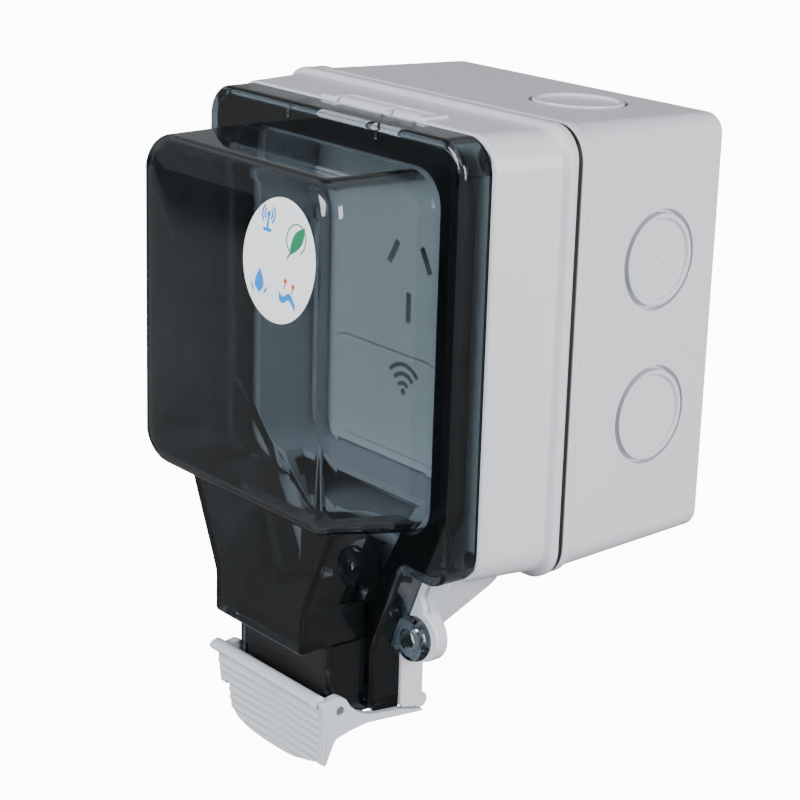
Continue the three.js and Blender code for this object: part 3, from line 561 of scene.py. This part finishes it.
def make_cover():
    flange = prism("flange", cover_corners(), COVER_BACK, COVER_FRONT, 0.25, 1.5)
    nose = [
        (NOSE_FRONT, -95, 1), (-99.8, -98.4, 1.2), (-97.2, NOSE_BOTTOM, 1.5),
        (COVER_INNER, NOSE_BOTTOM, 0.3), (COVER_INNER, -80, 0.3), (NOSE_FRONT, -80, 0.3),
    ]
    plates = [prism("plate", nose, s * 18.2, s * 20.8, 0.3, 0.5, axis="x") for s in (1, -1)]
    eyelet_profile = [
        (0, -1.9), (4.9, -1.9), (5.7, -1.6), (6.1, -1), (6.2, -0.3),
        (6.2, 0.3), (6.1, 1), (5.7, 1.6), (4.9, 1.9), (0, 1.9),
    ]
    eyelet = lathe("eyelet", eyelet_profile, (EYE_X, EYE_Y, EYE_Z), (0, 1, 0))
    web_outline = [(23, -82.6, 0.5), (30.5, -83.6, 1), (31.5, -73.2, 1), (23, -72.6, 0.5)]
    web = prism("web", web_outline, -79.2, -82.4, 0.4, 0.5)
    heel_profile = [
        (COVER_BACK, -101.3, 0.4), (COVER_BACK, -99, 0.2),
        (-87.4, -99, 0.2), (-87.4, -100.5, 0.3),
    ]
    heel = prism("heel", heel_profile, -23.9, 23.9, 0.3, 0.3, axis="x")
    cover = join(flange, bulge(0, COVER_INNER), chute(0, COVER_INNER, -40), *plates, eyelet, web, heel)
    levels = [
        (COVER_WALL, COVER_BACK + 2), (COVER_WALL, COVER_INNER + 0.8),
        (COVER_WALL + 0.25, COVER_INNER + 0.25), (COVER_WALL + 0.8, COVER_INNER),
    ]
    hollow = skin("hollow", [[(p.x, y, p.y) for p in outline(cover_corners(), more)] for more, y in levels])
    mouth = prism("mouth", rect(18.2, -96.1, -70.5, 0.5), COVER_BACK + 1, NOSE_FRONT - 0.3)
    eye_profile = [(0, -3), (3.6, -3), (3.1, -2), (3, -1), (3, 1), (3.1, 2), (3.6, 3), (0, 3)]
    eye = lathe("eye", eye_profile, (EYE_X, EYE_Y, EYE_Z), (0, 1, 0))
    deep = COVER_BACK + 1
    cut(cover, hollow, bulge(COVER_WALL, deep), chute(COVER_WALL, deep, -38), mouth, eye)
    ribs = []
    for x in (-RIB_X, RIB_X):
        ribs.append(prism("rib", tab(x - 0.6, x + 0.6, 52.9, 56.4, 0.1), -80.2, COVER_INNER - 0.5, 0.2))
    join(cover, *ribs)
    cut(cover, rod(LATCH_BORE_R, (0, LATCH_Y, LATCH_Z), (1, 0, 0), 44, steps=32))
    return weld(cover)


def make_hinge_arms():
    """The knuckles that hold the cover on its pin."""
    shape = [(HINGE_Y, 54, 0.3), (HINGE_Y, 57.2, 0.3), (-79.0, 57.2, 0.3), (-79.0, 54, 0.3)]
    arms = []
    for low, high in HINGE_SPANS:
        centre = ((low + high) / 2, HINGE_Y, HINGE_Z)
        knuckle = rod(HINGE_KNUCKLE_R, centre, (1, 0, 0), high - low, 0.3)
        arm = prism("arm", shape, low, high, axis="x")
        bore = rod(HINGE_PIN_R, centre, (1, 0, 0), high - low + 4, steps=32)
        arms.append(cut(join(knuckle, arm), bore))
    return merge(arms)


def make_gasket():
    """The black seal that stands round the opening and the chute, with a flat land beside it."""
    x, low, high = OPENING
    front = COVER_INNER + 0.3
    foot = [(CHUTE_HALF, -98, 1), (CHUTE_HALF, -69.6, 6), (32.6, -46, 2.5)]
    right = foot + [(x, low, CORNER), (x, high, CORNER)]

    def loop(grow, start, end):
        points = outline(both_sides(right), -grow)
        return skin("loop", [[(p.x, y, p.y) for p in points] for y in (start, end)])

    seal = cut(loop(3.1, -79.0, front), loop(0.5, -77, -90))
    cut(seal, prism("mouth", rect(18.5, -99, -69, 0.5), -77, -90))
    limit = outline(cover_corners(), COVER_WALL + 0.3)
    meet(seal, skin("trim", [[(p.x, y, p.y) for p in limit] for y in (-77, -90)]))
    land = prism("land", tab(-50.9, 47.6, -54.9, 54.9, 6.5), front + 1.8, front)
    notches = []
    for s in (1, -1):
        notches.append(prism("notch", tab(s * RIB_X - 0.9, s * RIB_X + 0.9, 52, 57, 0.2), -82, -88))
    cut(land, loop(1.0, -82, -88), *notches)
    join(seal, land)
    weld(seal)
    return soften(seal, 0.35)


def make_cable_seal():
    """The black rubber block at the outlet, its skirt behind the lever and its apron behind the chute."""
    block = prism("block", rect(SEAL_HALF, -95.3, -71.6, 0.5), -79.5, NOSE_FRONT, 0.4, 0.4)
    join(block, prism("skirt", rect(SEAL_HALF, -99.4, -94.8, 0.5), -88.8, -97.5, 0.3, 0.4))
    join(block, prism("apron", rect(SEAL_HALF, -72.6, -55.6, 1.5), -79.2, -80.6, 0.2, 0.3))
    ways = []
    for x in (-CABLE_X, CABLE_X):
        ways.append(rod(CABLE_R, (x, CABLE_Y, -84), (0, 0, 1), 40, steps=48))
        ways.append(prism("way", tab(x - CABLE_R + 0.4, x + CABLE_R - 0.4, -101, -70, 0.3), CABLE_Y, -77))
    cut(block, *ways)
    weld(block)
    return soften(block, 0.4)


# ---- latch ----
def latch_face(z, x):
    """The ribbed front of the lever: soft ribs that fade out in the middle."""
    swing = 2 * math.pi * (z - RIB_TOP) / RIB_PITCH
    fade = 1 - 0.7 * math.exp(-((x - 3) / 7) ** 2)
    settle_in = min(1, (-96.6 - z) / 1.5)
    ripple = RIB_HEIGHT * fade * settle_in * (1 - math.cos(swing)) / 2
    hollow = 0.55 * math.exp(-((x - 3) / 9) ** 2 - ((z + 104) / 6) ** 2)
    return -104.25 + 0.05 * (-z - 97) - ripple + hollow


def round_off(points):
    """Corner cutting, twice, on an open run of points."""
    for _ in range(2):
        run = [points[0]]
        for (a, b), (c, d) in zip(points, points[1:]):
            run += [(0.75 * a + 0.25 * c, 0.75 * b + 0.25 * d), (0.25 * a + 0.75 * c, 0.25 * b + 0.75 * d)]
        points = run + [points[-1]]
    return points


def make_latch():
    w = LATCH_HALF
    lip = round_off([
        (-102.5, -95), (-102.5, -93.2), (-104.4, -91.8), (-106.4, -92.2),
        (-107.6, -93.4), (-106.8, -94.6), (-105, -95.6), (-104.3, -96.6),
    ])
    tail = round_off([
        (-103.5, -114.6), (-103.2, -115.4), (-101.9, -115.4), (-101.3, -113.5),
        (-101.2, -105), (-101.6, -102.5), (-102.5, -101), (-102.5, -96),
    ])
    rings = []
    for x in span(-w, w, 56):
        front = [(latch_face(z, x), z) for z in span(-97, -114.3, 58)]
        rings.append([(x, y, z) for y, z in lip + front + tail])
    pad = skin("pad", rings)
    plan = [
        (22.3, -91, 0.5), (22.3, -111.6, 3), (10, -114.7, 10), (0, -115.5, 20), (-12.5, -114.2, 6),
        (-19, -111.2, 4), (-19.8, -103.9, 1.5), (-23.6, -102.4, 1.5), (-w, -98.4, 1.5), (-w, -91, 0.5),
    ]
    meet(pad, prism("plan", plan[::-1], -90, -110))
    arm = [
        (-105.2, -93.9, 0.7), (-102.5, -93.4, 3), (-99.2, -92.9, 2), (-97.1, -94.1, 1.5), (-95.5, -96.6, 2),
        (-92.8, -99.1, 4), (-88.7, -100.75, 6), (-79.2, -101.9, 6), (-70.6, -103.9, 0.3),
        (-70.6, -104.6, 0.3), (-80, -103.8, 6), (-89.6, -103, 8), (-95.6, -103.8, 6), (-100.3, -105, 2),
    ]
    long_cheek = [
        (-102.2, -109.2, 5), (-103.3, -112.1, 0.9), (-104.6, -111.4, 0.9),
        (-104.1, -104, 8), (-104.3, -98, 6),
    ]
    short_cheek = [(-103.6, -105.2, 0.6), (-104.1, -98, 6)]
    cheeks = []
    for side, cheek in ((1, long_cheek), (-1, short_cheek)):
        shape = (arm + cheek)[::-1]
        cheeks.append(prism("cheek", shape, side * CHEEK_INNER, side * w, 0.25, 0.3, axis="x"))
    join(pad, *cheeks)
    cut(pad, *[rod(LATCH_BORE_R, (k * 23, LATCH_Y, LATCH_Z), (1, 0, 0), 6, steps=48) for k in (1, -1)])
    return weld(pad, flat=False)


# ---- socket face ----
def slot_block(x, z, length, tilt):
    body = prism("slot", rect(SLOT_WIDTH / 2, -length / 2, length / 2, 0.35), -56, -62)
    body.data.transform(Matrix.Translation((x * MM, 0, z * MM)) @ Matrix.Rotation(tilt, 4, "Y"))
    return body


def make_face():
    plate = prism("plate", rect(40.6, -42.6, 45.6, 7), -57.9, FACE_FRONT, 0, 0.5)
    slots = [
        slot_block(-PIN_SLOT_X, PIN_SLOT_Z, 7.6, math.pi / 6),
        slot_block(PIN_SLOT_X, PIN_SLOT_Z, 7.6, -math.pi / 6),
        slot_block(0, EARTH_SLOT_Z, 8.6, 0),
    ]
    opening = prism("opening", rect(30.4, -40.1, -11.1, 3.4), -56, -62)
    cut(plate, opening, *slots)
    weld(plate)
    return soften(plate, 0.22)


def make_button():
    cap = prism("cap", rect(30, -39.7, -11.5, 3), -58.5, BUTTON_FRONT, 0, 0.7)
    flange = prism("flange", rect(31.4, -41.1, -10.1, 4.4), -56.4, -57.4)
    neck = prism("neck", rect(29.5, -39.2, -12, 3), -57, -59)
    return merge([cap, flange, neck])


def strip_shape(name, one, other, material, y_of, thickness, body, slot):
    """A thin raised band between two edges, whose front follows y_of(x, z)."""
    bm = bmesh.new()

    def row(points, lift):
        return [bm.verts.new(Vector((x, y_of(x, z) + lift, z)) * MM) for x, z in points]

    rows = [row(one, -thickness), row(other, -thickness), row(other, 0.02), row(one, 0.02)]
    for a, b in zip(rows, rows[1:] + rows[:1]):
        for i in range(len(one) - 1):
            bm.faces.new((a[i], a[i + 1], b[i + 1], b[i]))
    for i in (0, -1):
        bm.faces.new([r[i] for r in rows])
    bmesh.ops.remove_doubles(bm, verts=bm.verts, dist=0.002 * MM)
    bmesh.ops.dissolve_degenerate(bm, edges=bm.edges, dist=0.001 * MM)
    return finish_piece(link(name, bm), name, body, material)


def arc(cx, cz, r, angles):
    return [(cx + r * math.cos(a), cz + r * math.sin(a)) for a in angles]


def arc_band(cx, cz, r, width, start, end, steps=24):
    angles = [math.radians(a) for a in span(start, end, steps)]
    return [arc(cx, cz, r + k, angles) for k in (width / 2, -width / 2)]


def disc_halves(cx, cz, r):
    angles = [math.radians(a) for a in span(0, 180, 14)]
    return [[(cx + r * math.cos(a), cz + k * r * math.sin(a)) for a in angles] for k in (1, -1)]


def bar(x0, z0, x1, z1, half0, half1):
    """A straight bar whose half width goes from half0 to half1."""
    length = math.hypot(x1 - x0, z1 - z0)
    nx, nz = (z0 - z1) / length, (x1 - x0) / length
    ends = [(x0, z0, half0), (x1, z1, half1)]
    return [[(x + k * nx * half, z + k * nz * half) for x, z, half in ends] for k in (1, -1)]


def pointed(x0, z0, x1, z1, width, peak=0.5):
    """A leaf or drop outline from one point to another, widest at peak."""
    length = math.hypot(x1 - x0, z1 - z0)
    nx, nz = (z0 - z1) / length, (x1 - x0) / length
    edges = ([], [])
    for t in span(0, 1, 18):
        u = 0.5 * t / peak if t < peak else 0.5 + 0.5 * (t - peak) / (1 - peak)
        half = width / 2 * math.sin(math.pi * u)
        for edge, k in zip(edges, (1, -1)):
            edge.append((x0 + (x1 - x0) * t + k * nx * half, z0 + (z1 - z0) * t + k * nz * half))
    return edges


def front_y(x, z):
    """The bulge's front surface, with its rounded right edge."""
    y = BULGE_FRONT + bow(x, z)
    over = x - (40.9 - FRONT_ROUND)
    if over > 0:
        y += FRONT_ROUND - math.sqrt(max(FRONT_ROUND ** 2 - over ** 2, 0))
    return y


def make_label():
    """The round label, a thin disc that follows the bulge's front."""
    bm = bmesh.new()
    steps = 72
    levels = [(r, -LABEL_LIFT) for r in span(0.4, LABEL_R - 0.1, 14)] + [(LABEL_R, -0.1), (LABEL_R, -0.02)]
    rows = []
    for r, lift in levels:
        row = []
        for k in range(steps):
            a = 2 * math.pi * k / steps
            x, z = LABEL_X + r * math.cos(a), LABEL_Z + r * math.sin(a) * LABEL_TALL
            row.append(bm.verts.new(Vector((x, front_y(x, z) + lift, z)) * MM))
        rows.append(row)
    for a, b in zip(rows, rows[1:]):
        for k in range(steps):
            j = (k + 1) % steps
            bm.faces.new((a[k], a[j], b[j], b[k]))
    bm.faces.new(rows[0])
    return link("label", bm)


def on_button(x, z):
    return BUTTON_FRONT


def on_label(x, z):
    return front_y(x, z) - LABEL_LIFT


def button_shape(name, edges):
    strip_shape(name, *edges, MARK, on_button, 0.06, "button", "white_plastic")


def label_shape(name, edges, material):
    strip_shape(name, *edges, material, on_label, 0.05, "cover", "label_print")


# ---- build ----
finish_piece(make_back_box(), "vis_back_box", "base", GREY, ["back_box"])
finish_piece(make_frame(), "vis_front_frame", "base", GREY, ["front_frame"])
finish_piece(make_face(), "vis_face_plate", "base", FACE, ["face_plate"])
finish_piece(make_button(), "vis_push_button", "button", FACE, ["push_button"])
finish_piece(make_cover(), "vis_cover", "cover", SMOKE, ["cover"])
finish_piece(make_hinge_arms(), "vis_hinge_arms", "cover", GREY)
finish_piece(make_gasket(), "vis_cover_gasket", "cover", BLACK, ["cover_gasket"])
finish_piece(make_cable_seal(), "vis_cable_seal", "cover", BLACK, ["cable_seal"])
finish_piece(make_latch(), "vis_latch", "latch", LATCH_GREY, ["latch_lever"])
finish_piece(make_label(), "vis_label", "cover", PAPER, ["label_disc"])
pin_profile = [(0, -24.3), (1.0, -24.3), (1.2, -24.1), (1.2, 24.1), (1.0, 24.3), (0, 24.3)]
latch_pin = lathe("pin", pin_profile, (0, LATCH_Y, LATCH_Z), (1, 0, 0), 40)
finish_piece(latch_pin, "vis_latch_pin", "cover", STEEL, ["latch_pin"])
finish_piece(make_box_gasket(), "vis_box_gasket", "base", BLACK, ["box_gasket"])

for index, r in enumerate((2.6, 5.2, 7.8)):
    button_shape(f"vis_radio_arc_{index}", arc_band(0, RADIO_Z, r, 1.2, 42, 138))
button_shape("vis_radio_dot", disc_halves(0, RADIO_Z + 0.2, 0.95))

# ---- label symbols: an aerial with waves, a leaf in a ring, a drop with splashes, a sun over waves ----
AX, AZ = LABEL_X - 5.4, LABEL_Z + 9.6
label_shape("vis_aerial_mast", bar(AX, AZ - 2.6, AX, AZ + 0.8, 0.4, 0.3), BLUE)
label_shape("vis_aerial_foot", bar(AX - 1.6, AZ - 2.9, AX + 1.6, AZ - 2.9, 0.42, 0.42), BLUE)
label_shape("vis_aerial_dot", disc_halves(AX, AZ + 0.9, 0.7), BLUE)
for side, middle in (("r", 0), ("l", 180)):
    for index, r in enumerate((1.5, 2.5)):
        ripple = arc_band(AX, AZ + 0.9, r, 0.5, middle - 50, middle + 50)
        label_shape(f"vis_aerial_wave_{side}{index}", ripple, BLUE)
LX, LZ = LABEL_X + 6.2, LABEL_Z + 6.3
label_shape("vis_leaf_ring", arc_band(LX, LZ, 3.7, 0.3, -55, 235, 48), GREEN)
label_shape("vis_leaf", pointed(LX - 2.0, LZ - 4.0, LX + 2.9, LZ + 3.4, 3.6, 0.55), GREEN)
label_shape("vis_leaf_stem", bar(LX - 2.8, LZ - 5.0, LX - 1.2, LZ - 2.9, 0.2, 0.3), GREEN)
DX, DZ = LABEL_X - 6.8, LABEL_Z - 6.3
label_shape("vis_drop", pointed(DX, DZ - 2.7, DX, DZ + 3.3, 3.6, 0.34), BLUE)
for side, tag in ((1, "r"), (-1, "l")):
    splash = pointed(DX + side * 1.9, DZ - 2.8, DX + side * 3.4, DZ - 0.6, 0.6)
    label_shape(f"vis_splash_{tag}", splash, BLUE)
WX, WZ = LABEL_X + 4.6, LABEL_Z - 7.6
wave = [(WX + x, WZ - 0.25 * x + 0.9 * math.sin(x * 1.1 + 0.6)) for x in span(-3.2, 3.2, 28)]
label_shape("vis_wave", [wave, [(x, z - 1.7) for x, z in wave]], BLUE)
for index, (x, z) in enumerate([(-1.1, 3.4), (2.0, 2.6)]):
    label_shape(f"vis_spark_{index}", disc_halves(WX + x, WZ + z, 0.6), ORANGE)
    stem = bar(WX + x - 0.3, WZ + z - 1.9, WX + x, WZ + z - 0.5, 0.16, 0.16)
    label_shape(f"vis_spark_stem_{index}", stem, ORANGE)

# ---- looks of the CAD nodes that stay visible, by the start of the name ----
LOOKS = {
    "hinge_pin": (STEEL, "steel"),
    "module_housing": (FACE, "white_plastic"),
    "contact_": (BRASS, "brass"),
    "terminal_screw": (STEEL, "steel"),
    "terminal_": (BRASS, "brass"),
    "main_board": (BOARD, "board_green"),
    "button_board": (BOARD, "board_green"),
    "board_header": (PART_BLACK, "black_plastic"),
    "tact_switch": (PART_BLACK, "black_plastic"),
    "button_pad": (PART_CLEAR, "clear_plastic"),
    "status_led": (PART_CLEAR, "clear_plastic"),
    "wifi_module": (STEEL, "steel"),
    "relay": (PART_BLUE, "blue_plastic"),
    "transformer": (PART_YELLOW, "yellow_tape"),
    "capacitor": (PART_BLACK, "black_plastic"),
    "varistor": (PART_BLUE, "blue_plastic"),
    "fuse": (PART_CLEAR, "clear_plastic"),
    "frame_screw": (STEEL, "steel"),
    "module_screw": (STEEL, "steel"),
}
for node_name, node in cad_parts.items():
    for start, (material, slot_name) in LOOKS.items():
        if node_name.startswith(start):
            node.data.materials.clear()
            node.data.materials.append(material)
            break

# ---- floor: grey to the lamps, white to the camera ----
FLOOR_Z, FLOOR_REACH = -0.1165, 6.0
FLOOR_GREY, FLOOR_GLOW = 0.18, 12
r = FLOOR_REACH
floor_mesh = bpy.data.meshes.new("floor")
floor_mesh.from_pydata([(-r, -r, 0), (r, -r, 0), (r, r, 0), (-r, r, 0)], [], [(0, 1, 2, 3)])
floor = bpy.data.objects.new("floor", floor_mesh)
floor.location = (0, 0, FLOOR_Z)
floor_material, floor_tree, floor_shader = new_material("floor_white")
floor_shader.inputs["Base Color"].default_value = (FLOOR_GREY, FLOOR_GREY, FLOOR_GREY, 1)
floor_shader.inputs["Roughness"].default_value = 0.9
floor_shader.inputs["Emission Color"].default_value = (1, 1, 1, 1)
light_path = floor_tree.nodes.new("ShaderNodeLightPath")
glow = floor_tree.nodes.new("ShaderNodeMath")
glow.operation = "MULTIPLY"
glow.inputs[1].default_value = FLOOR_GLOW
floor_tree.links.new(light_path.outputs["Is Camera Ray"], glow.inputs[0])
floor_tree.links.new(glow.outputs[0], floor_shader.inputs["Emission Strength"])
floor_material.cycles.emission_sampling = "NONE"
floor_mesh.materials.append(floor_material)
bpy.context.scene.collection.objects.link(floor)


# ---- lights, in metres and watts ----
CENTRE = (0, -0.06, -0.02)
WORLD_COLOR, WORLD_STRENGTH = (0.95, 0.97, 1, 1), 0.32


def lamp(name, place, size, power):
    """A rectangular lamp that faces the object's centre."""
    data = bpy.data.lights.new(name, "AREA")
    data.shape = "RECTANGLE"
    data.size, data.size_y = size
    data.energy = power
    obj = bpy.data.objects.new(name, data)
    obj.location = place
    obj.rotation_euler = (Vector(CENTRE) - Vector(place)).to_track_quat("-Z", "Y").to_euler()
    bpy.context.scene.collection.objects.link(obj)


lamp("key_front", (-0.35, -1.5, 0.5), (0.8, 0.8), 36)
lamp("fill_right", (1.5, 0.1, 0.25), (0.7, 1.3), 49)
lamp("top", (0.1, 0.1, 1.5), (1.3, 1.3), 0.6)
world = bpy.data.worlds.new("studio")
world.use_nodes = True
background = world.node_tree.nodes["Background"]
background.inputs["Color"].default_value = WORLD_COLOR
background.inputs["Strength"].default_value = WORLD_STRENGTH
bpy.context.scene.world = world

# ---- camera: angles, and the object's centre and distance in millimetres in the camera's axes ----
AZIMUTH, ELEVATION, ROLL = (math.radians(a) for a in (50.7156, 17.2118, 1.7243))
SHIFT_X, SHIFT_Y, DISTANCE = 48.926, 33.049, 626.316
FOCAL_PIXELS, IMAGE_PIXELS, SENSOR = 2193.756, 800, 36
flat = math.cos(ELEVATION)
toward = Vector((math.sin(AZIMUTH) * flat, -math.cos(AZIMUTH) * flat, math.sin(ELEVATION)))
across = Vector((math.cos(AZIMUTH), math.sin(AZIMUTH), 0))
upward = toward.cross(across)
right_axis = across * math.cos(ROLL) + upward * math.sin(ROLL)
up_axis = upward * math.cos(ROLL) - across * math.sin(ROLL)
camera_data = bpy.data.cameras.new("camera")
camera_data.sensor_width = SENSOR
camera_data.lens = FOCAL_PIXELS / IMAGE_PIXELS * SENSOR
camera_data.clip_start = 0.01
camera = bpy.data.objects.new("camera", camera_data)
turn = Matrix((right_axis, up_axis, toward)).transposed()
place = Matrix.Translation(turn @ Vector((-SHIFT_X, -SHIFT_Y, DISTANCE)) * MM)
camera.matrix_world = place @ turn.to_4x4()
bpy.context.scene.collection.objects.link(camera)
bpy.context.scene.camera = camera
